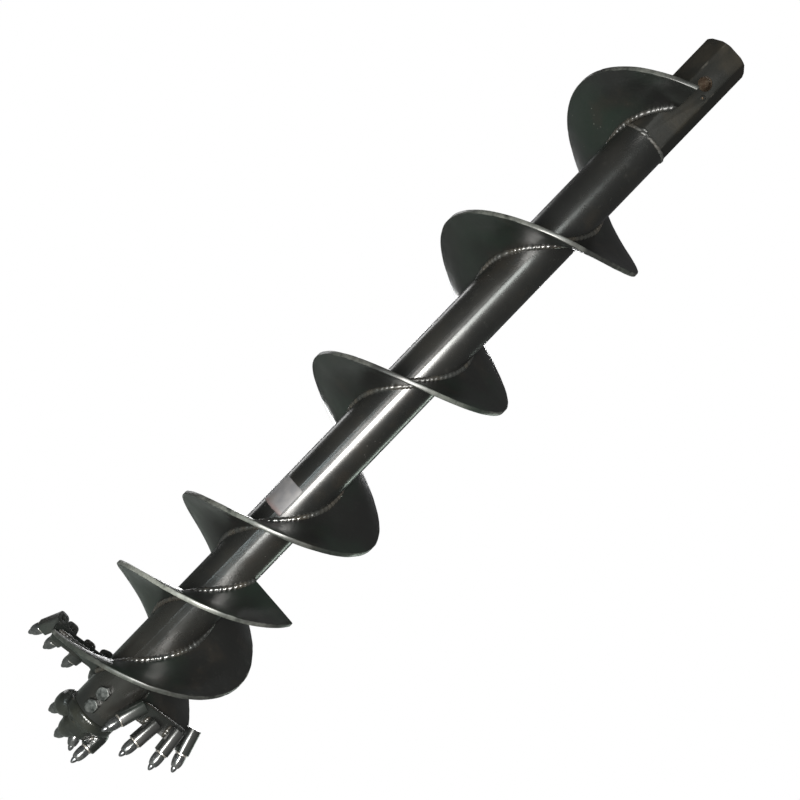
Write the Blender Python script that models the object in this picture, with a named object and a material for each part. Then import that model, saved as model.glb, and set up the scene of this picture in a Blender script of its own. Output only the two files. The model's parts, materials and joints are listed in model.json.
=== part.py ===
"""Rock-type soil auger: hex drive hub, steel tube, two right-hand flights, two cutter bars
that carry eight rotating bullet teeth, and a bolted pilot that carries four more.

Metres. The auger's axis is Z, with the hub's end face at Z = 0 and the pilot teeth at the
bottom. The hub's pin hole runs along Y. Seen from the hub, the auger cuts clockwise.
"""

import math

import bmesh
import bpy
from mathutils import Matrix, Vector

MM = 0.001
GAP = 0.3  # mm between pieces that touch in the real auger

# Shaft and hub, mm
TUBE_R = 38.1
TUBE_WALL = 8.0
TUBE_TOP = -176.3
TUBE_END = -1325.0
HUB_ACROSS_FLATS = 66.7
HUB_CORNER_R = 38.0
HUB_LENGTH = 176.0
SOCKET_ACROSS_FLATS = 51.4
SOCKET_DEPTH = 130.0
SPIGOT_LENGTH = 40.0
PIN_HOLE_R = 11.0
PIN_HOLE_Z = -63.0
SET_SCREW_R = 4.0
SET_SCREW_X = 12.0
SET_SCREW_Z = -79.0

# Flights, mm and degrees. Height rises with angle: Z = FLIGHT_Z0 + PITCH * angle / 360
FLIGHT_R = 127.0
FLIGHT_T = 7.5
PITCH = 276.0
FLIGHT_Z0 = -587.87
FLIGHT_STEP = 9.0
MAIN_TOP_DEG = 622.1
LOWER_TOP_DEG = -392.9
MAIN_END_DEG = -889.7
LOWER_END_DEG = -709.7
LOWER_DROP = PITCH / 2
FLIGHT_OVERRUN_DEG = 30.0

# Cutter bars, mm and degrees. LEAD is measured in the direction of cutting, ALONG from the
# auger's axis outwards, and DOWN along the slope of the teeth.
BAR_ANGLES = {"A": 10.3, "B": 190.3}
FORWARD_DEG = 25.0
ROW_LEAD = 33.0
ROW_Z = -1255.7
FLIGHT_END_LEAD = 15.0
BAR_T = 12.0
BAR_TOP = 4.0
BAR_BOTTOM = 27.5
BAR_INNER = 14.0
BAR_OUTER = 125.0
# One line for each tooth: along, down, lean in degrees (outwards is positive)
BAR_TEETH = {
    "A": ((36.2, 9.9, -26.8), (67.2, 18.5, -15.5), (102.2, 8.7, -3.4), (121.5, -6.5, 7.7)),
    "B": ((34.5, 12.0, -18.0), (62.0, 16.7, 0.7), (100.5, 8.3, 3.0), (121.0, 3.0, 14.1)),
}

# Tooth holders, mm
HOLDER_W = 20.0
HOLDER_CORNER = 7.0
HOLDER_BACK = 10.5
HOLDER_LENGTH = 38.0
HOLDER_ROOF = 6.0
BORE_R = 7.5
KNOCK_OUT_R = 4.5

# Bullet teeth, mm. Height 0 is the holder's face, and the point is at minus TOOTH_NOSE.
TOOTH_NOSE = 29.0
SLEEVE_R = 7.2
SLEEVE_INNER_R = 6.4
SLEEVE_LENGTH = 24.0
WASHER_R = 9.6
WASHER_T = 2.0
SHANK_R = 6.0
SHANK_END_R = 6.9
HEAD_R = 8.9
POCKET_R = 4.2
POCKET_TOP = -17.5
TIP_R = 3.9

# Pilot, mm
PILOT_HEX = 44.4
PILOT_SHANK_TOP = -1262.0
SOCKET_TOP = -1256.0
COLLAR_R = 40.0
COLLAR_BOTTOM = -1346.0
CORE_R = 27.0
CORE_BOTTOM = -1366.0
POD_R = 12.8
POD_LENGTH = 29.5
SPOT_FACE_R = 10.6
# One line for each pilot tooth: point of the tooth, then its direction
PILOT_TEETH = (
    ((-50.0, 30.0, -1386.0), (-0.30, 0.52, -0.80)),
    ((-17.0, 21.0, -1404.0), (-0.15, 0.50, -0.85)),
    ((14.0, 24.0, -1406.0), (0.40, -0.20, -0.89)),
    ((27.0, -23.0, -1396.0), (-0.08, -0.50, -0.86)),
)
POD_BULGES = (6.4, 4.0, 0.0, 0.0)
PILOT_TURN = -9.3
BOLT_ANGLE = -110.3
BOLT_HEIGHTS = {"upper": -1285.0, "lower": -1308.5}
BOLT_R = 6.0
BOLT_HEAD_FLATS = 19.0
BOLT_HEAD_T = 8.0
NUT_T = 10.0

ROUND_STEPS = 24
TOOTH_STEPS = 20

# Looks: base colour, roughness, metallic
PAINT = ((0.012, 0.014, 0.013), 0.28, 0.0)
WORN_PAINT = ((0.028, 0.034, 0.031), 0.42, 0.2)
STEEL = ((0.30, 0.29, 0.28), 0.42, 1.0)
BRIGHT_STEEL = ((0.62, 0.60, 0.57), 0.30, 1.0)
CARBIDE = ((0.20, 0.20, 0.21), 0.35, 1.0)
ZINC = ((0.52, 0.54, 0.53), 0.38, 0.9)


def clear_scene():
    for obj in list(bpy.data.objects):
        bpy.data.objects.remove(obj)


def collection(name, hidden=False):
    made = bpy.data.collections.new(name)
    bpy.context.scene.collection.children.link(made)
    made.hide_render = hidden
    return made


def material(name, look):
    colour, roughness, metallic = look
    made = bpy.data.materials.new(name)
    made.use_nodes = True
    shader = made.node_tree.nodes["Principled BSDF"]
    shader.inputs["Base Color"].default_value = (*colour, 1.0)
    shader.inputs["Roughness"].default_value = roughness
    shader.inputs["Metallic"].default_value = metallic
    made.diffuse_color = (*colour, 1.0)
    return made


clear_scene()
PARTS = collection("soil_auger")
CUTTERS = collection("cutters", hidden=True)


def add(name, mesh, look=None, smooth=True):
    """A node of the auger, or a cutter when it has no look."""
    obj = bpy.data.objects.new(name, mesh)
    if look is None:
        CUTTERS.objects.link(obj)
        obj.hide_render = True
        obj.display_type = "WIRE"
        return obj
    PARTS.objects.link(obj)
    mesh.materials.append(material("mat_" + name, look))
    if smooth:
        mesh.shade_smooth()
        mesh.set_sharp_from_angle(angle=math.radians(32))
    return obj


def combine(obj, other, operation):
    change = obj.modifiers.new(operation.lower() + "_" + other.name, "BOOLEAN")
    change.operation = operation
    change.object = other
    change.solver = "EXACT"


def cut(obj, *cutters):
    for cutter in cutters:
        combine(obj, cutter, "DIFFERENCE")


def join(obj, *others):
    for other in others:
        combine(obj, other, "UNION")


def lathe_mesh(name, profile, steps=ROUND_STEPS):
    """A closed turned shape. The profile holds (radius, height) pairs in mm, from top to bottom."""
    bm = bmesh.new()
    rings = []
    for radius, height in profile:
        if radius == 0:
            rings.append([bm.verts.new((0, 0, height * MM))])
            continue
        turns = [2 * math.pi * i / steps for i in range(steps)]
        rings.append(
            [bm.verts.new((radius * MM * math.cos(a), radius * MM * math.sin(a), height * MM)) for a in turns]
        )
    for upper, lower in zip(rings, rings[1:]):
        for i in range(steps):
            j = (i + 1) % steps
            corners = [upper[i % len(upper)], lower[i % len(lower)], lower[j % len(lower)], upper[j % len(upper)]]
            bm.faces.new(list(dict.fromkeys(corners)))
    if rings[0] is not rings[-1] and len(rings[0]) > 1:
        bm.faces.new(rings[0])
    if len(rings[-1]) > 1:
        bm.faces.new(list(reversed(rings[-1])))
    mesh = bpy.data.meshes.new(name)
    bm.to_mesh(mesh)
    bm.free()
    return mesh


def pipe_mesh(name, outline, steps=ROUND_STEPS):
    """A turned ring. The outline is a closed loop of (radius, height) pairs, down the outside first."""
    bm = bmesh.new()
    turns = [2 * math.pi * i / steps for i in range(steps)]
    rings = []
    for radius, height in outline:
        rings.append(
            [bm.verts.new((radius * MM * math.cos(a), radius * MM * math.sin(a), height * MM)) for a in turns]
        )
    for upper, lower in zip(rings, rings[1:] + rings[:1]):
        for i in range(steps):
            j = (i + 1) % steps
            bm.faces.new((upper[i], lower[i], lower[j], upper[j]))
    mesh = bpy.data.meshes.new(name)
    bm.to_mesh(mesh)
    bm.free()
    return mesh


def prism_mesh(name, outline, bottom, top):
    """A straight-sided block over a closed outline of (x, y) pairs in mm, anticlockwise."""
    bm = bmesh.new()
    low = [bm.verts.new((x * MM, y * MM, bottom * MM)) for x, y in outline]
    high = [bm.verts.new((x * MM, y * MM, top * MM)) for x, y in outline]
    bm.faces.new(list(reversed(low)))
    bm.faces.new(high)
    for i in range(len(outline)):
        j = (i + 1) % len(outline)
        bm.faces.new((low[i], low[j], high[j], high[i]))
    mesh = bpy.data.meshes.new(name)
    bm.to_mesh(mesh)
    bm.free()
    return mesh


def cylinder_mesh(name, radius, bottom, top, steps=ROUND_STEPS):
    return lathe_mesh(name, [(radius, top), (radius, bottom)], steps)


def hexagon(across_flats, first_deg=0.0):
    radius = across_flats / 2 / math.cos(math.pi / 6)
    turns = [math.radians(first_deg + 60 * i) for i in range(6)]
    return [(radius * math.cos(a), radius * math.sin(a)) for a in turns]


def frame(origin, down, forward):
    """A matrix whose -Z runs along down and whose -Y is as near as it can be to forward."""
    z_axis = -Vector(down).normalized()
    y_axis = -(Vector(forward) - Vector(forward).dot(z_axis) * z_axis).normalized()
    x_axis = y_axis.cross(z_axis)
    turn = Matrix((x_axis, y_axis, z_axis)).transposed().to_4x4()
    return Matrix.Translation(Vector(origin) * MM) @ turn


def round_z(deg):
    return Matrix.Rotation(math.radians(deg), 4, "Z")


# ---- shaft and hub ----


def build_hub():
    hub = add("hex_drive_hub", prism_mesh("hex_drive_hub", hexagon(HUB_ACROSS_FLATS), -HUB_LENGTH, 0), PAINT)
    turned = [
        (0, 0),
        (HUB_CORNER_R - 3.0, 0),
        (HUB_CORNER_R, -3.0),
        (HUB_CORNER_R, 3.0 - HUB_LENGTH),
        (HUB_CORNER_R - 3.0, -HUB_LENGTH),
        (0, -HUB_LENGTH),
    ]
    corners = add("hub_turned_corners", lathe_mesh("hub_turned_corners", turned, 72))
    combine(hub, corners, "INTERSECT")
    spigot_r = TUBE_R - TUBE_WALL - GAP
    spigot_end = -HUB_LENGTH - SPIGOT_LENGTH
    spigot = add("hub_spigot", cylinder_mesh("hub_spigot", spigot_r, spigot_end, -HUB_LENGTH + 10))
    join(hub, spigot)
    socket = add("hub_socket", prism_mesh("hub_socket", hexagon(SOCKET_ACROSS_FLATS), -SOCKET_DEPTH, 5))
    pin = add("hub_pin_hole", cylinder_mesh("hub_pin_hole", PIN_HOLE_R, -60, 60))
    pin.matrix_world = Matrix.Translation((0, 0, PIN_HOLE_Z * MM)) @ Matrix.Rotation(math.pi / 2, 4, "X")
    thread = add("hub_screw_hole", cylinder_mesh("hub_screw_hole", SET_SCREW_R + GAP, 15, 60, 20))
    thread.matrix_world = set_screw_place()
    cut(hub, socket, pin, thread)


def set_screw_place():
    """Local +Z points out of the hub's front flat."""
    place = Matrix.Translation((SET_SCREW_X * MM, 0, SET_SCREW_Z * MM))
    return place @ Matrix.Rotation(math.pi / 2, 4, "X")


def build_set_screw():
    face = HUB_ACROSS_FLATS / 2
    profile = [(0, face - 0.4), (3.4, face - 0.4), (4.0, face - 1.0), (4.0, face - 6.6), (3.2, face - 7.4), (0, face - 7.4)]
    screw = add("hub_set_screw", lathe_mesh("hub_set_screw", profile, 20), STEEL)
    key = add("set_screw_key", prism_mesh("set_screw_key", hexagon(4.0), face - 4.0, face + 2))
    cut(screw, key)
    screw.matrix_world = set_screw_place()
    key.matrix_world = set_screw_place()


def build_tube():
    inner = TUBE_R - TUBE_WALL
    outline = [(TUBE_R, TUBE_TOP), (TUBE_R, TUBE_END), (inner, TUBE_END), (inner, TUBE_TOP)]
    tube = add("shaft_tube", pipe_mesh("shaft_tube", outline, 48), PAINT)
    for name in BOLT_HEIGHTS:
        hole = add("tube_bolt_hole_" + name, cylinder_mesh("hole", BOLT_R + GAP, -60, 60, 24))
        hole.matrix_world = bolt_place(name)
        cut(tube, hole)


# ---- flights ----


def flight_height(deg):
    return FLIGHT_Z0 + PITCH * deg / 360


def flight_mesh(name, start_deg, end_deg, drop):
    """A helicoid plate of even height, welded edge to edge from rings of four corners."""
    inner = TUBE_R + GAP + 0.05
    count = math.ceil((end_deg - start_deg) / FLIGHT_STEP)
    bm = bmesh.new()
    rings = []
    for i in range(count + 1):
        deg = start_deg + (end_deg - start_deg) * i / count
        a = math.radians(deg)
        z = flight_height(deg) - drop
        ring = []
        for radius, half in (
            (inner, -FLIGHT_T / 2),
            (FLIGHT_R, -FLIGHT_T / 2),
            (FLIGHT_R, FLIGHT_T / 2),
            (inner, FLIGHT_T / 2),
        ):
            ring.append(bm.verts.new((radius * MM * math.cos(a), radius * MM * math.sin(a), (z + half) * MM)))
        rings.append(ring)
    for low, high in zip(rings, rings[1:]):
        for i in range(4):
            j = (i + 1) % 4
            bm.faces.new((low[i], low[j], high[j], high[i]))
    bm.faces.new(list(reversed(rings[0])))
    bm.faces.new(rings[-1])
    bmesh.ops.triangulate(bm, faces=bm.faces[:])
    bmesh.ops.recalc_face_normals(bm, faces=bm.faces[:])
    mesh = bpy.data.meshes.new(name)
    bm.to_mesh(mesh)
    bm.free()
    return mesh


def build_flight(name, end_deg, top_deg, drop, bar):
    flight = add(name, flight_mesh(name, end_deg - FLIGHT_OVERRUN_DEG, top_deg, drop), PAINT)
    trim = [(-10, FLIGHT_END_LEAD), (160, FLIGHT_END_LEAD), (160, 90), (-10, 90)]
    ahead = [(x, -y) for x, y in reversed(trim)]
    end = add(name + "_trim", prism_mesh(name + "_trim", ahead, ROW_Z - 60, ROW_Z + 40))
    end.matrix_world = round_z(BAR_ANGLES[bar])
    cut(flight, end)


# ---- cutter bars, holders and teeth ----


def bar_point(bar, along, lead, height):
    """Along runs outwards from the axis, lead in the direction of cutting."""
    return round_z(BAR_ANGLES[bar]) @ Vector((along, -lead, height))


def slope_vector(bar, along, down, out):
    """A direction given along the bar, down the slope of the teeth, and square out of that slope."""
    a = math.radians(FORWARD_DEG)
    lead = down * math.sin(a) + out * math.cos(a)
    height = -down * math.cos(a) + out * math.sin(a)
    return round_z(BAR_ANGLES[bar]) @ Vector((along, -lead, height))


def holder_place(bar, along, down, lean):
    """The top centre of a holder's bore, with -Z towards the tooth's point and -Y out of the slope."""
    origin = bar_point(bar, 0, ROW_LEAD, ROW_Z) + slope_vector(bar, along, down, 0)
    a = math.radians(lean)
    axis = slope_vector(bar, math.sin(a), math.cos(a), 0)
    return frame(origin, axis, slope_vector(bar, 0, 0, 1))


def holder_outline():
    half = HOLDER_W / 2
    r = HOLDER_CORNER
    left = [math.radians(180 + 15 * i) for i in range(7)]
    right = [math.radians(270 + 15 * i) for i in range(7)]
    front = [(r - half + r * math.cos(a), r - half + r * math.sin(a)) for a in left]
    front += [(half - r + r * math.cos(a), r - half + r * math.sin(a)) for a in right]
    return front + [(half, HOLDER_BACK - 2), (half - 2, HOLDER_BACK), (2 - half, HOLDER_BACK), (-half, HOLDER_BACK - 2)]


def build_bar(bar, tube_clearance):
    outline = [(BAR_INNER, BAR_BOTTOM), (BAR_OUTER - 10, BAR_BOTTOM), (BAR_OUTER, BAR_BOTTOM - 14)]
    outline += [(BAR_OUTER, BAR_TOP), (BAR_INNER, BAR_TOP)]
    outline = [(x, -y) for x, y in outline]
    front = -HOLDER_BACK - GAP
    name = "cutter_bar_" + bar
    plate = add(name, prism_mesh(name, outline, front - BAR_T, front), PAINT)
    axes = [slope_vector(bar, 1, 0, 0), slope_vector(bar, 0, -1, 0), slope_vector(bar, 0, 0, 1)]
    turn = Matrix([tuple(axis) for axis in axes]).transposed().to_4x4()
    plate.matrix_world = Matrix.Translation(bar_point(bar, 0, ROW_LEAD, ROW_Z) * MM) @ turn
    cut(plate, tube_clearance)


def build_holder(name, place, tube_clearance):
    holder = add(name, prism_mesh(name, holder_outline(), -HOLDER_LENGTH, 0), PAINT)
    steps = [(KNOCK_OUT_R, 5), (KNOCK_OUT_R, -HOLDER_ROOF), (BORE_R, -HOLDER_ROOF), (BORE_R, -HOLDER_LENGTH - 5)]
    bore = add(name + "_bore", lathe_mesh(name + "_bore", steps))
    holder.matrix_world = place
    bore.matrix_world = place
    cut(holder, bore, tube_clearance)


def build_tooth(label, face, bore_depth):
    """Face is the holder's front face on the tooth's axis, with -Z towards the point."""
    flange = WASHER_T + GAP
    outline = [
        (WASHER_R, -GAP),
        (WASHER_R, -flange),
        (SLEEVE_INNER_R, -flange),
        (SLEEVE_INNER_R, SLEEVE_LENGTH),
        (SLEEVE_R, SLEEVE_LENGTH),
        (SLEEVE_R, -GAP),
    ]
    sleeve = add("retainer_sleeve_" + label, pipe_mesh("sleeve", outline, TOOTH_STEPS), BRIGHT_STEEL)
    sleeve.matrix_world = face
    shoulder = -flange - GAP
    profile = [
        (0, bore_depth),
        (SHANK_END_R - 1.0, bore_depth),
        (SHANK_END_R, bore_depth - 1.0),
        (SHANK_END_R, SLEEVE_LENGTH + 1.4),
        (SHANK_R, SLEEVE_LENGTH + 0.5),
        (SHANK_R, shoulder),
        (HEAD_R - 0.8, shoulder),
        (HEAD_R, shoulder - 1.2),
        (HEAD_R, shoulder - 6.0),
        (8.1, shoulder - 8.5),
        (5.4, -19.6),
        (4.9, -20.6),
        (POCKET_R, -20.6),
        (POCKET_R, POCKET_TOP),
        (0, POCKET_TOP),
    ]
    tooth = add("bullet_tooth_" + label, lathe_mesh("tooth", profile, TOOTH_STEPS), WORN_PAINT)
    tooth.matrix_world = face
    point = [
        (0, POCKET_TOP - GAP),
        (TIP_R, POCKET_TOP - GAP),
        (TIP_R, -21.6),
        (3.0, -24.4),
        (1.4, -TOOTH_NOSE + 0.7),
        (0, -TOOTH_NOSE),
    ]
    tip = add("carbide_tip_" + label, lathe_mesh("tip", point, 16), CARBIDE)
    tip.matrix_world = face


def build_cutting_head():
    clearance = cylinder_mesh("tube_clearance", TUBE_R + GAP + 0.05, -1400, -1200, 96)
    tube_clearance = add("tube_clearance", clearance)
    for bar in BAR_ANGLES:
        build_bar(bar, tube_clearance)
        for number, (along, down, lean) in enumerate(BAR_TEETH[bar], 1):
            label = f"{bar}{number}"
            place = holder_place(bar, along, down, lean)
            build_holder("tooth_holder_" + label, place, tube_clearance)
            build_tooth(label, place @ Matrix.Translation((0, 0, -HOLDER_LENGTH * MM)), HOLDER_LENGTH - HOLDER_ROOF - 1.0)


# ---- pilot ----


def pilot_face(point, direction):
    """The pod's face on the tooth's axis, worked back from the tooth's point."""
    turned = round_z(PILOT_TURN)
    axis = (turned.to_3x3() @ Vector(direction)).normalized()
    face = turned @ Vector(point) - axis * TOOTH_NOSE
    outward = Vector((face.x, face.y, 0))
    return frame(face, axis, outward)


def bolt_place(name):
    """Local +Z points out of the tube towards the bolt's head."""
    turn = round_z(BOLT_ANGLE) @ Matrix.Rotation(math.pi / 2, 4, "Y")
    return Matrix.Translation((0, 0, BOLT_HEIGHTS[name] * MM)) @ turn


def build_pilot_socket():
    radius = TUBE_R - TUBE_WALL - GAP
    socket = add("pilot_socket", cylinder_mesh("pilot_socket", radius, TUBE_END, SOCKET_TOP, 48), STEEL)
    hexes = hexagon(PILOT_HEX + 2 * GAP)
    bore = add("pilot_socket_bore", prism_mesh("pilot_socket_bore", hexes, TUBE_END - 5, SOCKET_TOP + 5))
    bore.matrix_world = round_z(BOLT_ANGLE + 30)
    cut(socket, bore)
    for name in BOLT_HEIGHTS:
        hole = add("socket_bolt_hole_" + name, cylinder_mesh("hole", BOLT_R + GAP, -60, 60, 24))
        hole.matrix_world = bolt_place(name)
        cut(socket, hole)


def build_pilot_body():
    top = TUBE_END - GAP
    collar = [
        (0, top),
        (COLLAR_R - 3, top),
        (COLLAR_R, top - 3),
        (COLLAR_R, COLLAR_BOTTOM + 6),
        (COLLAR_R - 7, COLLAR_BOTTOM),
        (CORE_R, COLLAR_BOTTOM - 6),
        (CORE_R - 5, CORE_BOTTOM),
        (0, CORE_BOTTOM),
    ]
    body = add("pilot_body", lathe_mesh("pilot_body", collar, 48), PAINT)
    bores = []
    for number, (point, direction) in enumerate(PILOT_TEETH, 1):
        face = pilot_face(point, direction)
        bulge = POD_BULGES[number - 1]
        profile = [
            (0, POD_LENGTH + 8),
            (POD_R - 6 + bulge, POD_LENGTH + 6.4),
            (POD_R - 1.8 + bulge, POD_LENGTH + 1),
            (POD_R + bulge, POD_LENGTH - 6),
            (POD_R + bulge * 0.9, 14.0),
            (POD_R + bulge * 0.5, 6.0),
            (POD_R, 1.0),
            (POD_R - 1.0, 0),
            (0, 0),
        ]
        pod = add(f"pilot_pod_{number}", lathe_mesh("pod", profile))
        steps = [(BORE_R, POD_LENGTH + 1), (BORE_R, 0), (SPOT_FACE_R, 0), (SPOT_FACE_R, -TOOTH_NOSE - 5)]
        bore = add(f"pilot_bore_{number}", lathe_mesh("bore", steps))
        pod.matrix_world = face
        bore.matrix_world = face
        join(body, pod)
        bores.append(bore)
        build_tooth(f"P{number}", face, POD_LENGTH - 1.0)
    above = add("pilot_tube_clearance", cylinder_mesh("pilot_tube_clearance", COLLAR_R + 9, top, top + 60, 48))
    shank = add("pilot_shank", prism_mesh("pilot_shank", hexagon(PILOT_HEX), top - 8, PILOT_SHANK_TOP))
    shank.matrix_world = round_z(BOLT_ANGLE + 30)
    cut(body, above)
    join(body, shank)
    cut(body, *bores)
    for name in BOLT_HEIGHTS:
        hole = add("pilot_bolt_hole_" + name, cylinder_mesh("hole", BOLT_R + GAP, -60, 60, 24))
        hole.matrix_world = bolt_place(name)
        cut(body, hole)


def build_bolts():
    seat = TUBE_R + GAP
    for name in BOLT_HEIGHTS:
        shank = [
            (0, seat + 2),
            (BOLT_R, seat + 2),
            (BOLT_R, -seat - NUT_T - 5),
            (BOLT_R - 1, -seat - NUT_T - 6),
            (0, -seat - NUT_T - 6),
        ]
        bolt = add("pilot_bolt_" + name, lathe_mesh("bolt", shank, 24), ZINC)
        head = add("bolt_head_" + name, prism_mesh("head", hexagon(BOLT_HEAD_FLATS), seat, seat + BOLT_HEAD_T))
        crown = [
            (0, seat + BOLT_HEAD_T),
            (9.0, seat + BOLT_HEAD_T),
            (11.2, seat + BOLT_HEAD_T - 1.4),
            (11.2, seat - 1),
            (0, seat - 1),
        ]
        round_off = add("bolt_crown_" + name, lathe_mesh("crown", crown, 32))
        combine(head, round_off, "INTERSECT")
        join(bolt, head)
        nut = add("pilot_nut_" + name, prism_mesh("nut", hexagon(BOLT_HEAD_FLATS), -seat - NUT_T, -seat), ZINC, False)
        thread = add("nut_thread_" + name, cylinder_mesh("thread", BOLT_R + GAP, -seat - NUT_T - 5, -seat + 5, 24))
        cut(nut, thread)
        for obj in (bolt, head, round_off, nut, thread):
            obj.matrix_world = bolt_place(name)


def main():
    build_hub()
    build_set_screw()
    build_tube()
    build_flight("main_flight", MAIN_END_DEG, MAIN_TOP_DEG, 0, "B")
    build_flight("lower_flight", LOWER_END_DEG, LOWER_TOP_DEG, LOWER_DROP, "A")
    build_cutting_head()
    build_pilot_socket()
    build_pilot_body()
    build_bolts()


main()
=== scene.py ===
import json
import math

import bmesh
import bpy
from mathutils import Matrix, Vector, noise


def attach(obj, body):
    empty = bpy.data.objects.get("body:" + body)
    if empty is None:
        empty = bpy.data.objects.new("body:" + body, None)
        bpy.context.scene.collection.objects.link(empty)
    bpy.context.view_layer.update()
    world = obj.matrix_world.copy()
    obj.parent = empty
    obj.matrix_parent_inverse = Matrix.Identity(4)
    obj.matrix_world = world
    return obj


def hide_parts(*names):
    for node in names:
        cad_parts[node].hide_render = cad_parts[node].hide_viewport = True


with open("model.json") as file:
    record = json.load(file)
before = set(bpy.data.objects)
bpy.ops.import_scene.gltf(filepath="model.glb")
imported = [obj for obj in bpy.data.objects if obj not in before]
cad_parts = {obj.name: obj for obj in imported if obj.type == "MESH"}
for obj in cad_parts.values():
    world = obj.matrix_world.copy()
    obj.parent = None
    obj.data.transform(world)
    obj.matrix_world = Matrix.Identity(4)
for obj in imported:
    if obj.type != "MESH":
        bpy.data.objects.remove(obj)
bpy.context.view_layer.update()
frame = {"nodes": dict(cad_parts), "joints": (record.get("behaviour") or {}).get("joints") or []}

# Metres and degrees, in the row frame: Z is the auger's axis and the hub's end face is at 0
TUBE_R = 0.0381
TUBE_TOP = -0.1763
HUB_SHOULDER = -0.177
FLIGHT_R = 0.127
FLIGHT_T = 0.0075
PITCH = 0.276
FLIGHT_Z0 = -0.58787
LOWER_DROP = PITCH / 2
MAIN_SPAN = (-889.7, 622.1)
LOWER_SPAN = (-709.7, -392.9)
BAR_ANGLES = {"A": 10.3, "B": 190.3}
FLIGHT_END_LEAD = 0.015
FLIGHT_OVERRUN = 30.0
FORWARD = math.radians(25)
ROW_LEAD = 0.033
ROW_Z = -1.2557
HOLDER_LENGTH = 0.038
HOLDER_W = 0.020
HOLDER_BACK = 0.0105
BAR_T = 0.012
BAR_TOP = 0.004
BAR_FOOT = 0.0275
BAR_ENDS = (0.014, 0.125)
TOOTH_NUMBERS = range(1, 5)
# Welded pieces stand this far apart in the CAD
GAP = 0.0003
WELD_SIDES = 9
LABEL_FOOT = -0.930
LABEL_HEIGHT = 0.049
FLOOR_LEVEL = -2.1
FLOOR_HALF_WIDTH = 60.0
CAMERA_AZIMUTH = math.radians(-9.3)
CAMERA_DISTANCE = 1.59
CAMERA_LEVEL = -0.6913
CAMERA_RIGHT = 0.0054
CAMERA_LEAN = math.radians(44.0)
CAMERA_LENS_MM = 49.0

JOINTS = {joint["child"]: joint for joint in frame["joints"]}


# ---------------------------------------------------------------- materials


class Shader:
    """A Principled material with helpers that add noise, masks and mixes to it."""

    def __init__(self, name):
        self.material = bpy.data.materials.new(name)
        self.material.use_nodes = True
        self.tree = self.material.node_tree
        self.shader = self.tree.nodes["Principled BSDF"]
        self.coords = self.tree.nodes.new("ShaderNodeTexCoord").outputs["Object"]

    def link(self, output, socket):
        self.tree.links.new(output, socket)

    def noise(self, scale, detail=3.0, roughness=0.55):
        """Cloudy noise from 0 to 1."""
        node = self.tree.nodes.new("ShaderNodeTexNoise")
        node.inputs["Scale"].default_value = scale
        node.inputs["Detail"].default_value = detail
        node.inputs["Roughness"].default_value = roughness
        self.link(self.coords, node.inputs["Vector"])
        return node.outputs["Fac"]

    def cells(self, scale):
        """Distance to the nearest of many scattered points."""
        node = self.tree.nodes.new("ShaderNodeTexVoronoi")
        node.inputs["Scale"].default_value = scale
        self.link(self.coords, node.inputs["Vector"])
        return node.outputs["Distance"]

    def math(self, operation, a, b):
        """One sum on two numbers or node outputs."""
        node = self.tree.nodes.new("ShaderNodeMath")
        node.operation = operation
        for value, socket in ((a, node.inputs[0]), (b, node.inputs[1])):
            if isinstance(value, (int, float)):
                socket.default_value = value
            else:
                self.link(value, socket)
        return node.outputs["Value"]

    def step(self, value, low, high):
        """0 below low, 1 above high, smooth between. It falls instead when low is over high."""
        node = self.tree.nodes.new("ShaderNodeMapRange")
        node.interpolation_type = "SMOOTHSTEP"
        ends = (low, high, 0.0, 1.0) if low < high else (high, low, 1.0, 0.0)
        for name, end in zip(("From Min", "From Max", "To Min", "To Max"), ends):
            node.inputs[name].default_value = end
        self.link(value, node.inputs["Value"])
        return node.outputs["Result"]

    def span(self, value, low, high):
        """Maps 0..1 to low..high."""
        node = self.tree.nodes.new("ShaderNodeMapRange")
        node.inputs["To Min"].default_value = low
        node.inputs["To Max"].default_value = high
        self.link(value, node.inputs["Value"])
        return node.outputs["Result"]

    def mix(self, amount, a, b):
        """Goes from a to b. Each is a colour or a node output."""
        node = self.tree.nodes.new("ShaderNodeMix")
        node.data_type = "RGBA"
        self.link(amount, node.inputs["Factor"])
        for value, socket in ((a, node.inputs[6]), (b, node.inputs[7])):
            if isinstance(value, tuple):
                socket.default_value = (*value, 1.0)
            else:
                self.link(value, socket)
        return node.outputs[2]

    def radius(self):
        """Distance from the object's own Z axis."""
        flat = self.tree.nodes.new("ShaderNodeVectorMath")
        flat.operation = "MULTIPLY"
        flat.inputs[1].default_value = (1.0, 1.0, 0.0)
        self.link(self.coords, flat.inputs[0])
        length = self.tree.nodes.new("ShaderNodeVectorMath")
        length.operation = "LENGTH"
        self.link(flat.outputs["Vector"], length.inputs[0])
        return length.outputs["Value"]

    def height(self):
        """Height in the object's own frame."""
        split = self.tree.nodes.new("ShaderNodeSeparateXYZ")
        self.link(self.coords, split.inputs["Vector"])
        return split.outputs["Z"]

    def bump(self, height, strength, distance, normal=None):
        """A normal dented by height, on top of another normal if there is one."""
        node = self.tree.nodes.new("ShaderNodeBump")
        node.inputs["Strength"].default_value = strength
        node.inputs["Distance"].default_value = distance
        self.link(height, node.inputs["Height"])
        if normal:
            self.link(normal, node.inputs["Normal"])
        return node.outputs["Normal"]

    def finish(self, colour=None, roughness=None, metallic=None, normal=None, **constants):
        """Feeds the main inputs, sets others by name and hands back the material."""
        feeds = {"Base Color": colour, "Roughness": roughness, "Metallic": metallic, "Normal": normal}
        for name, value in feeds.items():
            if value is None:
                continue
            if isinstance(value, (int, float)):
                self.shader.inputs[name].default_value = value
            else:
                self.link(value, self.shader.inputs[name])
        for name, value in constants.items():
            self.shader.inputs[name.replace("_", " ")].default_value = value
        return self.material


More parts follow.
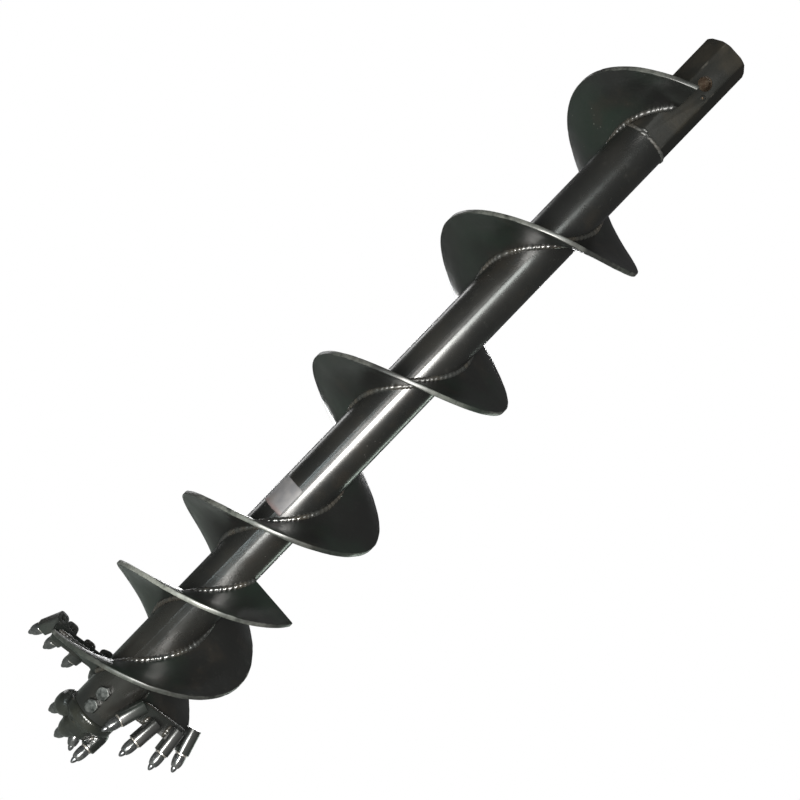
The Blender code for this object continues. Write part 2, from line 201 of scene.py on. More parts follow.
BLACK = (0.0050, 0.0052, 0.0050)
BROWN_BLACK = (0.0095, 0.0083, 0.0068)
GREEN_BLACK = (0.0055, 0.0082, 0.0064)
BARE = (0.42, 0.40, 0.37)
RUST = (0.026, 0.017, 0.011)


def paint(name, gloss, worn_edge=False, dusty=0.25, tint=GREEN_BLACK, shine=0.5):
    """Thin black machine paint over mill-scale steel, with dust and small chips."""
    s = Shader(name)
    colour = s.mix(s.step(s.noise(7.0, 4.0), 0.42, 0.68), BLACK, tint)
    colour = s.mix(s.math("MULTIPLY", s.step(s.noise(19.0, 5.0), 0.52, 0.72), 0.6), colour, BROWN_BLACK)
    dust = s.math("MULTIPLY", s.step(s.noise(90.0, 6.0, 0.7), 0.56, 0.8), dusty)
    colour = s.mix(dust, colour, (0.055, 0.054, 0.048))
    chips = s.step(s.cells(120.0), 0.07, 0.03)
    sparse = s.step(s.noise(9.0, 2.0), 0.60, 0.68)
    chip = s.math("MULTIPLY", chips, sparse)
    roughness = s.span(s.noise(26.0, 4.0), gloss - 0.05, gloss + 0.09)
    roughness = s.math("ADD", roughness, s.math("MULTIPLY", dust, 0.5))
    metallic = chip
    if worn_edge:
        radius = s.radius()
        ragged = s.math("ADD", radius, s.math("MULTIPLY", s.math("SUBTRACT", s.noise(60.0, 5.0), 0.5), 0.006))
        rim = s.step(ragged, FLIGHT_R - 0.0020, FLIGHT_R - 0.0006)
        low = s.step(s.height(), -1.02, -1.16)
        amount = s.math("MULTIPLY", rim, s.math("ADD", s.math("MULTIPLY", low, 0.30), 0.10))
        scuffed = s.step(s.noise(150.0, 4.0, 0.7), 0.36, 0.62)
        patches = s.step(s.noise(8.0, 3.0), 0.42, 0.60)
        scuffs = s.math("MULTIPLY", amount, s.span(scuffed, 0.5, 1.0))
        wear = s.math("MULTIPLY", scuffs, s.span(patches, 0.12, 1.45))
        chip = s.math("MAXIMUM", chip, wear)
        metallic = s.math("MULTIPLY", chip, 0.9)
        roughness = s.math("SUBTRACT", roughness, s.math("MULTIPLY", wear, 0.10))
        colour = s.mix(chip, colour, (0.34, 0.35, 0.32))
    else:
        colour = s.mix(chip, colour, BARE)
    peel = s.bump(s.noise(420.0, 2.0), 0.10, 0.0006)
    normal = s.bump(s.noise(38.0, 3.0), 0.10, 0.002, peel)
    return s.finish(colour, roughness, metallic, normal, IOR=1.5, Specular_IOR_Level=shine)


def hub_paint():
    """Dull paint on the forged hub, rubbed thin on its edges and rusty inside its holes."""
    s = Shader("hub_paint")
    colour = s.mix(s.step(s.noise(16.0, 5.0), 0.40, 0.68), (0.0078, 0.0080, 0.0074), (0.0140, 0.0126, 0.0100))
    inside = s.step(s.radius(), 0.0332, 0.0322)
    rust = s.mix(s.step(s.noise(140.0, 5.0, 0.7), 0.35, 0.7), RUST, (0.052, 0.041, 0.030))
    colour = s.mix(inside, colour, rust)
    rubbed = s.math("MULTIPLY", s.step(s.radius(), 0.0374, 0.0380), s.step(s.noise(45.0, 5.0), 0.50, 0.78))
    colour = s.mix(s.math("MULTIPLY", rubbed, 0.55), colour, (0.075, 0.070, 0.062))
    speck = s.step(s.cells(75.0), 0.10, 0.05)
    sparse = s.math("MULTIPLY", speck, s.step(s.noise(13.0, 2.0), 0.57, 0.66))
    colour = s.mix(sparse, colour, (0.15, 0.145, 0.13))
    roughness = s.math("ADD", s.span(s.noise(60.0, 4.0), 0.36, 0.50), s.math("MULTIPLY", inside, 0.3))
    normal = s.bump(s.noise(260.0, 4.0, 0.6), 0.22, 0.0008)
    return s.finish(colour, roughness, normal=normal, Specular_IOR_Level=0.06)


def cast_paint():
    """Black paint over a rough casting."""
    s = Shader("cast_paint")
    colour = s.mix(s.step(s.noise(22.0, 4.0), 0.4, 0.7), (0.0055, 0.0063, 0.0058), (0.0100, 0.0105, 0.0080))
    rubbed = s.math("MULTIPLY", s.step(s.noise(55.0, 5.0, 0.65), 0.62, 0.74), 0.35)
    colour = s.mix(rubbed, colour, (0.11, 0.09, 0.06))
    roughness = s.span(s.noise(80.0, 4.0), 0.15, 0.30)
    grain = s.bump(s.noise(330.0, 4.0, 0.6), 0.35, 0.0012)
    normal = s.bump(s.noise(60.0, 3.0), 0.45, 0.003, grain)
    return s.finish(colour, roughness, normal=normal, IOR=1.5)


def weld_paint(name, smooth, rough):
    """The same paint where it lies thick over a weld."""
    s = Shader(name)
    colour = s.mix(s.step(s.noise(30.0, 3.0), 0.4, 0.65), (0.011, 0.0115, 0.011), (0.020, 0.018, 0.015))
    spatter = s.step(s.noise(200.0, 3.0), 0.64, 0.74)
    colour = s.mix(s.math("MULTIPLY", spatter, 0.22), colour, (0.16, 0.155, 0.145))
    roughness = s.span(s.noise(110.0, 3.0), smooth, rough)
    clusters = s.step(s.noise(15.0, 2.0), 0.56, 0.44)
    roughness = s.math("ADD", roughness, s.math("MULTIPLY", clusters, 0.24))
    normal = s.bump(s.noise(420.0, 2.0), 0.18, 0.0005)
    return s.finish(colour, roughness, normal=normal, IOR=1.5)


def tooth_paint():
    """Black paint on the teeth, polished towards the point and lightly scuffed all over."""
    s = Shader("tooth_paint")
    near_point = s.step(s.height(), -0.016, -0.026)
    patchy = s.step(s.noise(120.0, 5.0, 0.7), 0.45, 0.66)
    rub = s.math("MULTIPLY", s.math("ADD", s.math("MULTIPLY", near_point, 0.30), 0.06), patchy)
    colour = s.mix(s.noise(60.0, 4.0), (0.008, 0.009, 0.010), (0.017, 0.018, 0.018))
    colour = s.mix(rub, colour, (0.30, 0.30, 0.29))
    roughness = s.span(s.noise(90.0, 4.0), 0.16, 0.30)
    normal = s.bump(s.noise(300.0, 3.0), 0.18, 0.0006)
    return s.finish(colour, roughness, s.math("MULTIPLY", rub, 0.8), normal, IOR=1.5, Specular_IOR_Level=0.9)


def metal(name, light, dark, rough, speckle=150.0):
    """Bare or plated steel with light and dark patches."""
    s = Shader(name)
    colour = s.mix(s.step(s.noise(speckle, 5.0, 0.65), 0.36, 0.68), light, dark)
    roughness = s.span(s.noise(speckle * 1.7, 4.0), rough - 0.07, rough + 0.12)
    normal = s.bump(s.noise(speckle * 3.0, 3.0), 0.18, 0.0005)
    return s.finish(colour, roughness, 0.9, normal)


def label_film():
    """A blank, dusty, pale film, stained and browner along its foot."""
    s = Shader("label_film")
    colour = s.mix(s.step(s.noise(70.0, 4.0), 0.35, 0.7), (0.050, 0.050, 0.053), (0.067, 0.065, 0.066))
    stain = s.math("MULTIPLY", s.step(s.noise(28.0, 5.0), 0.50, 0.70), 0.4)
    colour = s.mix(stain, colour, (0.048, 0.040, 0.037))
    ragged = s.math("ADD", s.height(), s.math("MULTIPLY", s.noise(60.0, 3.0), 0.006))
    foot = s.step(ragged, LABEL_FOOT + 0.012, LABEL_FOOT + 0.005)
    colour = s.mix(s.math("MULTIPLY", foot, 0.45), colour, (0.070, 0.042, 0.039))
    roughness = s.span(s.noise(120.0, 3.0), 0.45, 0.62)
    normal = s.bump(s.noise(300.0, 3.0), 0.12, 0.0004)
    return s.finish(colour, roughness, normal=normal, Specular_IOR_Level=0.3)


def floor_material():
    """White to the camera, and a dark grey green to light and reflections."""
    s = Shader("pale_floor")
    colour = s.mix(s.noise(3.0, 3.0), (0.15, 0.17, 0.155), (0.17, 0.19, 0.175))
    s.finish(colour, 0.9)
    glow = s.tree.nodes.new("ShaderNodeEmission")
    path = s.tree.nodes.new("ShaderNodeLightPath")
    both = s.tree.nodes.new("ShaderNodeMixShader")
    s.link(path.outputs["Is Camera Ray"], both.inputs["Fac"])
    s.link(s.shader.outputs["BSDF"], both.inputs[1])
    s.link(glow.outputs["Emission"], both.inputs[2])
    s.link(both.outputs["Shader"], s.tree.nodes["Material Output"].inputs["Surface"])
    return s.material


TUBE_PAINT = paint("tube_paint", 0.255, dusty=0.12, tint=(0.0080, 0.0078, 0.0070))
FLIGHT_PAINT = paint("flight_paint", 0.34, worn_edge=True, dusty=0.13, shine=0.38)
BAR_PAINT = paint("bar_paint", 0.26, dusty=0.16)
HOLDER_PAINT = paint("holder_paint", 0.30, dusty=0.12, shine=1.0)
HUB_PAINT = hub_paint()
CAST_PAINT = cast_paint()
WELD_PAINT = weld_paint("weld_paint", 0.10, 0.24)
DULL_WELD = weld_paint("dull_weld", 0.34, 0.48)
TOOTH_PAINT = tooth_paint()
RING_STEEL = metal("ring_steel", (0.62, 0.60, 0.56), (0.36, 0.33, 0.29), 0.30)
CARBIDE = metal("carbide", (0.16, 0.165, 0.17), (0.07, 0.07, 0.075), 0.30, 260.0)
BOLT_ZINC = metal("bolt_zinc", (0.085, 0.088, 0.085), (0.018, 0.020, 0.019), 0.38)
SOCKET_STEEL = metal("socket_steel", (0.30, 0.28, 0.25), (0.16, 0.12, 0.09), 0.45)
LABEL = label_film()


# ---------------------------------------------------------------- mesh helpers


def place(name, mesh, material, body, replaced=(), angle=35, matrix=None):
    """Adds a piece, shades it smooth up to an angle and lets it ride on its CAD body."""
    obj = bpy.data.objects.new(name, mesh)
    bpy.context.scene.collection.objects.link(obj)
    mesh.materials.clear()
    mesh.materials.append(material)
    mesh.shade_smooth()
    mesh.set_sharp_from_angle(angle=math.radians(angle))
    if matrix is not None:
        obj.matrix_world = matrix
    bpy.context.view_layer.update()
    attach(obj, body)
    if replaced:
        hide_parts(*replaced)
    return obj


def mesh_from(name, bm):
    """Makes a mesh of the bmesh with its faces pointing outwards, and frees it."""
    bmesh.ops.recalc_face_normals(bm, faces=bm.faces[:])
    mesh = bpy.data.meshes.new(name)
    bm.to_mesh(mesh)
    bm.free()
    return mesh


def skin(bm, rings):
    """Joins closed rings of vertices into a tube and caps its two ends."""
    for here, after in zip(rings, rings[1:]):
        for k in range(len(here)):
            j = (k + 1) % len(here)
            bm.faces.new((here[k], here[j], after[j], after[k]))
    bm.faces.new(rings[0])
    bm.faces.new(list(reversed(rings[-1])))


def tidy_copy(node):
    """The CAD node's mesh with its triangles merged back into flat faces."""
    bm = bmesh.new()
    bm.from_mesh(frame["nodes"][node].data)
    bmesh.ops.remove_doubles(bm, verts=bm.verts[:], dist=1e-6)
    bmesh.ops.dissolve_limit(bm, angle_limit=math.radians(1.0), verts=bm.verts[:], edges=bm.edges[:])
    return bm


def bevelled(node, width, sharp_deg=32, within=None):
    """A copy of a CAD node with its sharp edges rounded."""
    bm = tidy_copy(node)
    edges = [
        e
        for e in bm.edges
        if len(e.link_faces) == 2
        and e.calc_face_angle(0) > math.radians(sharp_deg)
        and (within is None or within((e.verts[0].co + e.verts[1].co) / 2))
    ]
    bmesh.ops.bevel(
        bm, geom=edges, offset=width, segments=2, profile=0.6, affect="EDGES", clamp_overlap=True
    )
    return mesh_from(node + "_looks", bm)


def lathe(name, profile, steps, wobble=0.0, seed=0.0):
    """A turned solid from (radius, height) pairs in metres, top to bottom."""
    bm = bmesh.new()
    rings = []
    for radius, height in profile:
        if radius == 0:
            rings.append([bm.verts.new((0, 0, height))])
            continue
        ring = []
        for i in range(steps):
            a = 2 * math.pi * i / steps
            r = radius
            if wobble:
                at = Vector((math.cos(a) * 1.3, math.sin(a) * 1.3, height * 120 + seed))
                r += wobble * noise.noise(at)
            ring.append(bm.verts.new((r * math.cos(a), r * math.sin(a), height)))
        rings.append(ring)
    for upper, lower in zip(rings, rings[1:]):
        for i in range(steps):
            j = (i + 1) % steps
            loop = [upper[i % len(upper)], lower[i % len(lower)]]
            loop += [lower[j % len(lower)], upper[j % len(upper)]]
            # An end on the axis is one vertex, so its repeats are dropped
            bm.faces.new(list(dict.fromkeys(loop)))
    return mesh_from(name, bm)


def rounded(points, radius, steps=3):
    """The same profile with each inner corner rounded."""
    made = [points[0]]
    for before, here, after in zip(points, points[1:], points[2:]):
        b, h, a = Vector(before), Vector(here), Vector(after)
        reach = min(radius, (b - h).length * 0.45, (a - h).length * 0.45)
        start = h + (b - h).normalized() * reach
        end = h + (a - h).normalized() * reach
        for i in range(steps + 1):
            t = i / steps
            p = start.lerp(h, t).lerp(h.lerp(end, t), t)
            made.append((max(p.x, 0.0), p.y))
    made.append(points[-1])
    return made


def flight_height(deg, drop):
    """Height of a flight's mid-plane at an angle, drop below the main flight."""
    return FLIGHT_Z0 + PITCH * deg / 360 - drop


def bead_share(reach, length, pitch, seed):
    """Share of the bead's radius: ripples, a slow drift, and thinner ends."""
    phase = (reach / pitch + 0.8 * noise.noise(Vector((reach * 45, seed, 0)))) % 1.0
    ripple = 0.80 + 0.26 * math.sin(math.pi * phase) ** 0.7
    drift = 1.0 + 0.20 * noise.noise(Vector((reach * 42, seed + 5, 2)))
    ends = min(1.0, 0.55 + min(reach, length - reach) / 0.008)
    return ripple * drift * ends


def weld(name, path, radius, pitch=0.0062, up=(0, 0, 1), seed=0.0, coat=WELD_PAINT):
    """A rippled weld bead along a path, with its ripples like a row of tilted coins."""
    last = len(path) - 1
    reach = [0.0]
    for a, b in zip(path, path[1:]):
        reach.append(reach[-1] + (b - a).length)
    bm = bmesh.new()
    rings = []
    for i, centre in enumerate(path):
        ahead = path[min(i + 1, last)] - path[max(i - 1, 0)]
        ahead.normalize()
        side = ahead.cross(Vector(up)).normalized()
        top = side.cross(ahead).normalized()
        size = radius * bead_share(reach[i], reach[-1], pitch, seed)
        ring = []
        for k in range(WELD_SIDES):
            a = 2 * math.pi * k / WELD_SIDES
            bow = pitch * 0.28 * (math.cos(a) - 0.4)
            wiggle = 1.0 + 0.07 * noise.noise(Vector((reach[i] * 220, k * 1.7, seed)))
            offset = (side * math.sin(a) + top * math.cos(a)) * size * wiggle
            ring.append(bm.verts.new(centre + offset + ahead * bow))
        rings.append(ring)
    skin(bm, rings)
    return place(name, mesh_from(name, bm), coat, "auger", angle=70)


def run_between(points):
    """Points spaced along a broken line."""
    spacing = 0.0016
    made = []
    for a, b in zip(points, points[1:]):
        a, b = Vector(a), Vector(b)
        n = max(2, math.ceil((b - a).length / spacing))
        made += [a.lerp(b, i / n) for i in range(n)]
    made.append(Vector(points[-1]))
    return made


# ---------------------------------------------------------------- shaft, hub and flights


def round_z(deg):
    return Matrix.Rotation(math.radians(deg), 3, "Z")


def above_tube(point):
    return point.z > HUB_SHOULDER


def level_arc(radius, height, first_deg, step_deg, count):
    """Points on a level arc about the auger's axis."""
    angles = [math.radians(first_deg + step_deg * i) for i in range(count)]
    return [Vector((math.cos(a) * radius, math.sin(a) * radius, height)) for a in angles]


def dress_hub_and_tube():
    hub = bevelled("hex_drive_hub", 0.0011, within=above_tube)
    place("hub_shell", hub, HUB_PAINT, "auger", ["hex_drive_hub"])
    tube = bevelled("shaft_tube", 0.0006)
    place("tube_shell", tube, TUBE_PAINT, "auger", ["shaft_tube"])
    screw = bevelled("hub_set_screw", 0.0003)
    place("set_screw_shell", screw, HUB_PAINT, "auger", ["hub_set_screw"])
    ring = level_arc(TUBE_R - 0.0011, TUBE_TOP + 0.0004, -100, 2.0, 181)
    weld("weld_hub_to_tube", ring, 0.0029, pitch=0.0085, seed=3.0, coat=DULL_WELD)
    for number, (first_deg, rise) in enumerate(((-124, 0.0041), (-121, -0.0009))):
        tack = level_arc(TUBE_R - 0.0007, TUBE_TOP + rise, first_deg, 1.2, 15)
        weld(f"weld_tack_{number}", tack, 0.0032, pitch=0.0075, seed=8.0 + number)


def flight_mesh(span, drop, seed):
    """The helicoid plate with rounded, slightly dented edges and a shallow wave in its face."""
    start, end = span
    count = math.ceil((end - start) / 2.5)
    inner = TUBE_R + GAP
    half = FLIGHT_T / 2 - 0.0001
    soft = 0.0013
    land = 0.030
    bm = bmesh.new()
    rings = []
    for i in range(count + 1):
        deg = start + (end - start) * i / count
        a = math.radians(deg)
        z = flight_height(deg, drop)
        dent = 0.0006 * noise.noise(Vector((deg * 0.11, seed, 0)))
        dent -= 0.0016 * max(0.0, noise.noise(Vector((deg * 0.23, seed + 7, 0))) - 0.32)
        outer = FLIGHT_R - 0.0004 + dent
        wave = 0.0009 * noise.noise(Vector((deg * 0.021, seed + 3, 0)))
        section = [
            (inner, -half),
            (inner + land, -half),
            (outer - land, -half),
            (outer - soft, -half),
            (outer - soft * 0.3, -half + soft * 0.3),
            (outer, -half + soft),
            (outer, half - soft),
            (outer - soft * 0.3, half - soft * 0.3),
            (outer - soft, half),
            (outer - land, half),
            (inner + land, half),
            (inner, half),
        ]
        ring = []
        for r, h in section:
            share = (r - inner) / (FLIGHT_R - inner)
            ripple = wave * share + 0.0005 * share * noise.noise(Vector((deg * 0.09, r * 40, seed)))
            ring.append(bm.verts.new((r * math.cos(a), r * math.sin(a), z + h + ripple)))
        rings.append(ring)
    skin(bm, rings)
    return bm


def trim_ahead(bm, bar):
    """Cuts the flight's lower end off along the straight line where the cutter bar meets it."""
    out = round_z(BAR_ANGLES[bar]) @ Vector((0, -1, 0))
    along = round_z(BAR_ANGLES[bar]) @ Vector((1, 0, 0))
    lowest_turn = ROW_Z + 0.05
    own_side = -0.012
    near = [v for v in bm.verts if v.co.z < lowest_turn and v.co.dot(along) > own_side]
    faces = {f for v in near for f in v.link_faces}
    edges = {e for f in faces for e in f.edges}
    bmesh.ops.bisect_plane(
        bm,
        geom=list(near) + list(edges) + list(faces),
        plane_co=out * FLIGHT_END_LEAD,
        plane_no=out,
        clear_outer=True,
    )
    rim = [e for e in bm.edges if e.is_boundary]
    bmesh.ops.holes_fill(bm, edges=rim, sides=0)


def flight_seam(span, drop, sign):
    """The corner between a flight and the tube, above the flight (1) or under it (-1)."""
    step_deg = 1.5
    r = TUBE_R + 0.0011
    path = []
    deg = span[0] - 6.0
    while deg < span[1] - step_deg:
        a = math.radians(deg)
        z = flight_height(deg, drop) + sign * (FLIGHT_T / 2 + 0.0012)
        path.append(Vector((r * math.cos(a), r * math.sin(a), z)))
        deg += step_deg
    return path


def dress_flight(name, span, drop, bar, seed):
    bm = flight_mesh((span[0] - FLIGHT_OVERRUN, span[1] - 0.3), drop, seed)
    trim_ahead(bm, bar)
    mesh = mesh_from(name + "_plate", bm)
    place(name + "_plate", mesh, FLIGHT_PAINT, "auger", [name], angle=50)
    for side, sign in (("upper", 1), ("under", -1)):
        weld(f"weld_{name}_{side}", flight_seam(span, drop, sign), 0.0044, seed=seed + sign, pitch=0.0072)


# ---------------------------------------------------------------- cutting head


def bar_turn(bar):
    """Columns: along the bar, up the slope of the teeth, and square out of that slope."""
    z = round_z(BAR_ANGLES[bar])
    along = z @ Vector((1, 0, 0))
    up = z @ Vector((0, math.sin(FORWARD), math.cos(FORWARD)))
    out = z @ Vector((0, -math.cos(FORWARD), math.sin(FORWARD)))
    return Matrix((along, up, out)).transposed()


def on_bar(bar, along, down, out):
    """A point given from the middle of the row of holders' top line."""
    origin = round_z(BAR_ANGLES[bar]) @ Vector((0, -ROW_LEAD, ROW_Z))
    return origin + bar_turn(bar) @ Vector((along, -down, out))


def tooth_frame(label):
    """The tooth's own frame: origin at the holder's face on its axis, and -Z towards the point."""
    joint = JOINTS["tooth_" + label]
    axis = Vector(joint["axis"]).normalized()
    z_axis = -axis
    hint = Vector((0, 0, 1)) if label[0] != "P" else Vector((joint["pos_m"][0], joint["pos_m"][1], 0))
    y_axis = -(hint - hint.dot(z_axis) * z_axis).normalized()
    x_axis = y_axis.cross(z_axis)
    turn = Matrix((x_axis, y_axis, z_axis)).transposed().to_4x4()
    return Matrix.Translation(Vector(joint["pos_m"])) @ turn


TIP_OUTLINE = [
    (0, -0.0178),
    (0.0038, -0.0179),
    (0.0039, -0.0204),
    (0.0046, -0.0214),
    (0.0042, -0.0238),
    (0.0032, -0.0262),
    (0.0018, -0.0283),
    (0, -0.0290),
]
SLEEVE_OUTLINE = [
    (0.0096, -0.0005),
    (0.0096, -0.0021),
    (0.0091, -0.0023),
    (0.0066, -0.0023),
    (0.0064, -0.0020),
    (0.0064, 0.0240),
    (0.0072, 0.0240),
    (0.0072, -0.0003),
    (0.0094, -0.0003),
]


def tooth_outline(top):
    """Radius and height from the shank's end to the hollow that holds the carbide tip."""
    return [
        (0, top),
        (0.0062, top),
        (0.0069, top - 0.0008),
        (0.0069, 0.0256),
        (0.0060, 0.0247),
        (0.0060, -0.0026),
        (0.0080, -0.0026),
        (0.0089, -0.0036),
        (0.0089, -0.0096),
        (0.0086, -0.0128),
        (0.0079, -0.0162),
        (0.0068, -0.0192),
        (0.0055, -0.0210),
        (0.0044, -0.0211),
        (0.0042, -0.0177),
        (0, -0.0177),
    ]


def dress_tooth(label, number):
    """The tooth and its tip on their own body, and the sleeve that stays with the auger."""
    spin = tooth_frame(label) @ Matrix.Rotation(number * 0.7, 4, "Z")
    body = "tooth_" + label
    shank_end = 0.0280 if label[0] == "P" else 0.0305
    mesh = lathe("bullet_" + label, rounded(tooth_outline(shank_end), 0.0008), 40, 0.00012, number)
    place("bullet_" + label, mesh, TOOTH_PAINT, body, ["bullet_tooth_" + label], matrix=spin)
    mesh = lathe("carbide_" + label, rounded(TIP_OUTLINE, 0.0007), 28, 0.0001, number + 9)
    place("carbide_" + label, mesh, CARBIDE, body, ["carbide_tip_" + label], matrix=spin)
    node = "retainer_sleeve_" + label
    mesh = split_ring("sleeve_" + label, SLEEVE_OUTLINE, 40)
    place("sleeve_" + label, mesh, RING_STEEL, "auger", [node], matrix=spin)


def split_ring(name, outline, steps):
    """The retainer sleeve with the slot that lets it spring open, 12 degrees wide."""
    bm = bmesh.new()
    gap = math.radians(12)
    rings = []
    for i in range(steps + 1):
        a = gap / 2 + (2 * math.pi - gap) * i / steps
        rings.append([bm.verts.new((r * math.cos(a), r * math.sin(a), h)) for r, h in outline])
    skin(bm, rings)
    return mesh_from(name, bm)


def dress_holder(bar, number):
    """The holder, and a seam down each of its sides as far as the bar reaches."""
    label = f"{bar}{number}"
    node = "tooth_holder_" + label
    place("holder_" + label, bevelled(node, 0.0012, 40), HOLDER_PAINT, "auger", [node])
    at = tooth_frame(label)
    out = bar_turn(bar) @ Vector((0, 0, 1))
    axis = at.to_3x3() @ Vector((0, 0, 1))
    side = axis.cross(out).normalized()
    for sign, hand in ((1, "left"), (-1, "right")):
        foot = at.translation + side * sign * (HOLDER_W / 2 + 0.0006) - out * (HOLDER_BACK - 0.0008)
        seam = run_between([foot + axis * t for t in (0.002, HOLDER_LENGTH - 0.001)])
        seam = [p for p in seam if reaches_bar(bar, p)]
        if len(seam) > 4:
            weld(f"weld_{label}_{hand}", seam, 0.0031, seed=number * 3.0 + sign, up=out)


def dress_bar(bar):
    node = "cutter_bar_" + bar
    place(f"bar_{bar}", bevelled(node, 0.0012), BAR_PAINT, "auger", [node])
    back = -HOLDER_BACK - GAP - BAR_T
    upper = [on_bar(bar, x, BAR_TOP + 0.0004, back - GAP) for x in (0.043, 0.119)]
    weld(f"weld_bar_{bar}_flight", run_between(upper), 0.0042, seed=ord(bar), pitch=0.0070, coat=DULL_WELD)
    lower = [on_bar(bar, x, BAR_FOOT + 0.0002, back + 0.0050) for x in (0.040, 0.075)]
    weld(f"weld_bar_{bar}_under", run_between(lower), 0.0030, seed=ord(bar) + 1.0)
    for number in TOOTH_NUMBERS:
        dress_holder(bar, number)
    weld(f"weld_{bar}1_tube", tube_seam(bar), 0.0044, seed=ord(bar) + 2.0, pitch=0.0080)


def tube_seam(bar):
    """The corner between the innermost holder and the tube, where a fat bead ties the two together."""
    at = tooth_frame(bar + "1")
    axis = at.to_3x3() @ Vector((0, 0, 1))
    inward = Vector((-at.translation.x, -at.translation.y, 0)).normalized()
    inward = (inward - axis * inward.dot(axis)).normalized()
    points = []
    for t in (0.006, 0.016, 0.026, 0.034):
        p = at.translation + inward * (HOLDER_W / 2) + axis * t
        r = math.hypot(p.x, p.y)
        share = (TUBE_R + 0.001) / r
        points.append(Vector((p.x * (1 + share) / 2, p.y * (1 + share) / 2, p.z)))
    return run_between(points)


def reaches_bar(bar, point):
    """True where the bar lies behind a holder, clear of the tube."""
    local = bar_turn(bar).transposed() @ (point - on_bar(bar, 0, 0, 0))
    clear = math.hypot(point.x, point.y) > TUBE_R + 0.001
    return clear and -BAR_FOOT < local.y < -BAR_TOP and BAR_ENDS[0] < local.x < BAR_ENDS[1]


def dress_pilot():
    """The casting, softened by a voxel remesh, with its bolts, nuts and socket sleeve."""
    bm = tidy_copy("pilot_body")
    bmesh.ops.triangulate(bm, faces=bm.faces[:])
    mesh = mesh_from("pilot_cast", bm)
    obj = place("pilot_cast", mesh, CAST_PAINT, "auger", ["pilot_body"])
    remesh = obj.modifiers.new("voxels", "REMESH")
    remesh.mode = "VOXEL"
    remesh.voxel_size = 0.0013
    remesh.use_smooth_shade = True
    smooth = obj.modifiers.new("cast_edges", "SMOOTH")
    smooth.factor = 0.5
    smooth.iterations = 4
    for which in ("upper", "lower"):
        for kind in ("bolt", "nut"):
            node = f"pilot_{kind}_{which}"
            place(f"{kind}_{which}", bevelled(node, 0.0006), BOLT_ZINC, "auger", [node])
    socket = frame["nodes"]["pilot_socket"].data
    socket.materials.clear()
    socket.materials.append(SOCKET_STEEL)


def dress_label():
    """A blank film wrapped on the tube, with softly ragged edges."""
    bm = bmesh.new()
    rows, columns = 22, 30
    start, end = math.radians(-168), math.radians(-104)
    grid = []
    for j in range(rows + 1):
        line = []
        for i in range(columns + 1):
            u, v = i / columns, j / rows
            edge = min(u, 1 - u, v, 1 - v)
            ragged = 0.0007 * noise.noise(Vector((u * 9, v * 9, 4.0))) if edge == 0 else 0.0
            a = start + (end - start) * u + ragged * 12
            z = LABEL_FOOT + LABEL_HEIGHT * v + ragged
            r = TUBE_R + 0.00016
            line.append(bm.verts.new((r * math.cos(a), r * math.sin(a), z)))
        grid.append(line)
    for low, high in zip(grid, grid[1:]):
        for i in range(columns):
            bm.faces.new((low[i], low[i + 1], high[i + 1], high[i]))
    obj = place("blank_film", mesh_from("blank_film", bm), LABEL, "auger")
    shell = obj.modifiers.new("thickness", "SOLIDIFY")
    shell.thickness = 0.00018
    shell.offset = 0.0


# ---------------------------------------------------------------- stage


def build_stage():
    bm = bmesh.new()
    bmesh.ops.create_grid(bm, x_segments=8, y_segments=8, size=FLOOR_HALF_WIDTH)
    mesh = bpy.data.meshes.new("floor")
    bm.to_mesh(mesh)
    bm.free()
    floor = bpy.data.objects.new("floor", mesh)
    mesh.materials.append(floor_material())
    bpy.context.scene.collection.objects.link(floor)
    floor.location = (0, 0, FLOOR_LEVEL)


def add_strip(name, azimuth_deg, distance, centre_z, width, height, power, colour=(1, 1, 1)):
    """A tall soft light that faces the auger's axis. Azimuth is measured from -Y towards +X."""
    a = math.radians(azimuth_deg)
    back = Vector((math.sin(a), -math.cos(a), 0))
    light = bpy.data.lights.new(name, "AREA")
    light.shape = "RECTANGLE"
    light.size = width
    light.size_y = height
    light.energy = power
    light.color = colour
    obj = bpy.data.objects.new(name, light)
    bpy.context.scene.collection.objects.link(obj)
    obj.location = back * distance + Vector((0, 0, centre_z))
    obj.rotation_mode = "QUATERNION"
    obj.rotation_quaternion = back.to_track_quat("Z", "Y")


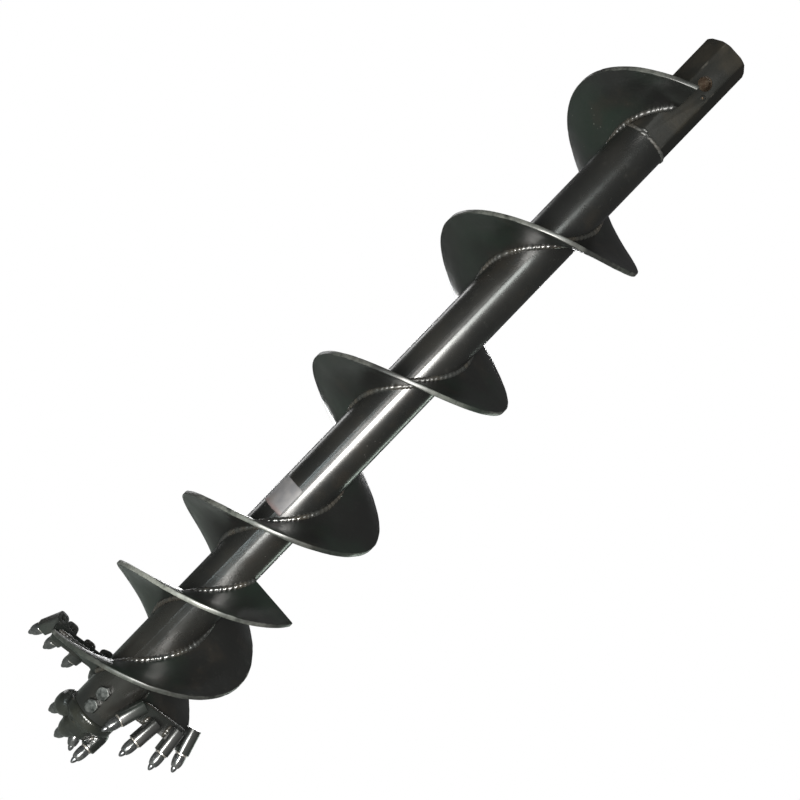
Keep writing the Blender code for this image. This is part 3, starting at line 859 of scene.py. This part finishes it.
def build_world():
    """White to the camera, and dim to everything else."""
    world = bpy.data.worlds.new("studio")
    bpy.context.scene.world = world
    world.use_nodes = True
    tree = world.node_tree
    background = tree.nodes["Background"]
    background.inputs["Color"].default_value = (1, 1, 1, 1)
    path = tree.nodes.new("ShaderNodeLightPath")
    dim = tree.nodes.new("ShaderNodeMapRange")
    dim.inputs["To Min"].default_value = 0.10
    dim.inputs["To Max"].default_value = 1.0
    tree.links.new(path.outputs["Is Camera Ray"], dim.inputs["Value"])
    tree.links.new(dim.outputs["Result"], background.inputs["Strength"])


def build_lights():
    add_strip("flash", -8.0, 1.75, -0.84, 0.50, 0.66, 110, (1.0, 0.96, 0.92))
    add_strip("tall_strip", -7.5, 1.9, -0.60, 0.44, 2.0, 52, (0.94, 1.0, 0.96))
    add_strip("cool_strip", -34.0, 1.8, -1.25, 0.07, 0.9, 4.5, (0.75, 0.95, 1.0))
    add_strip("rim_strip", 122.0, 1.8, -1.0, 0.25, 1.1, 6, (0.85, 1.0, 0.88))
    add_strip("far_strip", 215.0, 2.4, -0.6, 0.5, 1.8, 14)
    add_strip("back_fill", 172.0, 2.6, -0.70, 0.6, 1.8, 85)


def build_camera():
    data = bpy.data.cameras.new("camera")
    data.lens = CAMERA_LENS_MM
    data.sensor_width = 36.0
    data.clip_end = 200.0
    camera = bpy.data.objects.new("camera", data)
    bpy.context.scene.collection.objects.link(camera)
    bpy.context.scene.camera = camera
    a = CAMERA_AZIMUTH
    back = Vector((math.sin(a), -math.cos(a), 0))
    right = Vector((math.cos(a), math.sin(a), 0))
    axis = Vector((0, 0, 1))
    x_axis = axis * math.sin(CAMERA_LEAN) + right * math.cos(CAMERA_LEAN)
    y_axis = axis * math.cos(CAMERA_LEAN) - right * math.sin(CAMERA_LEAN)
    turn = Matrix((x_axis, y_axis, back)).transposed().to_4x4()
    spot = back * CAMERA_DISTANCE + right * CAMERA_RIGHT + Vector((0, 0, CAMERA_LEVEL))
    camera.matrix_world = Matrix.Translation(spot) @ turn


def main():
    dress_hub_and_tube()
    dress_flight("main_flight", MAIN_SPAN, 0.0, "B", 1.0)
    dress_flight("lower_flight", LOWER_SPAN, LOWER_DROP, "A", 20.0)
    dress_label()
    for bar in BAR_ANGLES:
        dress_bar(bar)
    labels = [f"{bar}{i}" for bar in "ABP" for i in TOOTH_NUMBERS]
    for number, label in enumerate(labels):
        dress_tooth(label, number)
    dress_pilot()
    build_stage()
    build_world()
    build_lights()
    build_camera()
    bpy.context.scene.view_settings.view_transform = "Standard"


main()
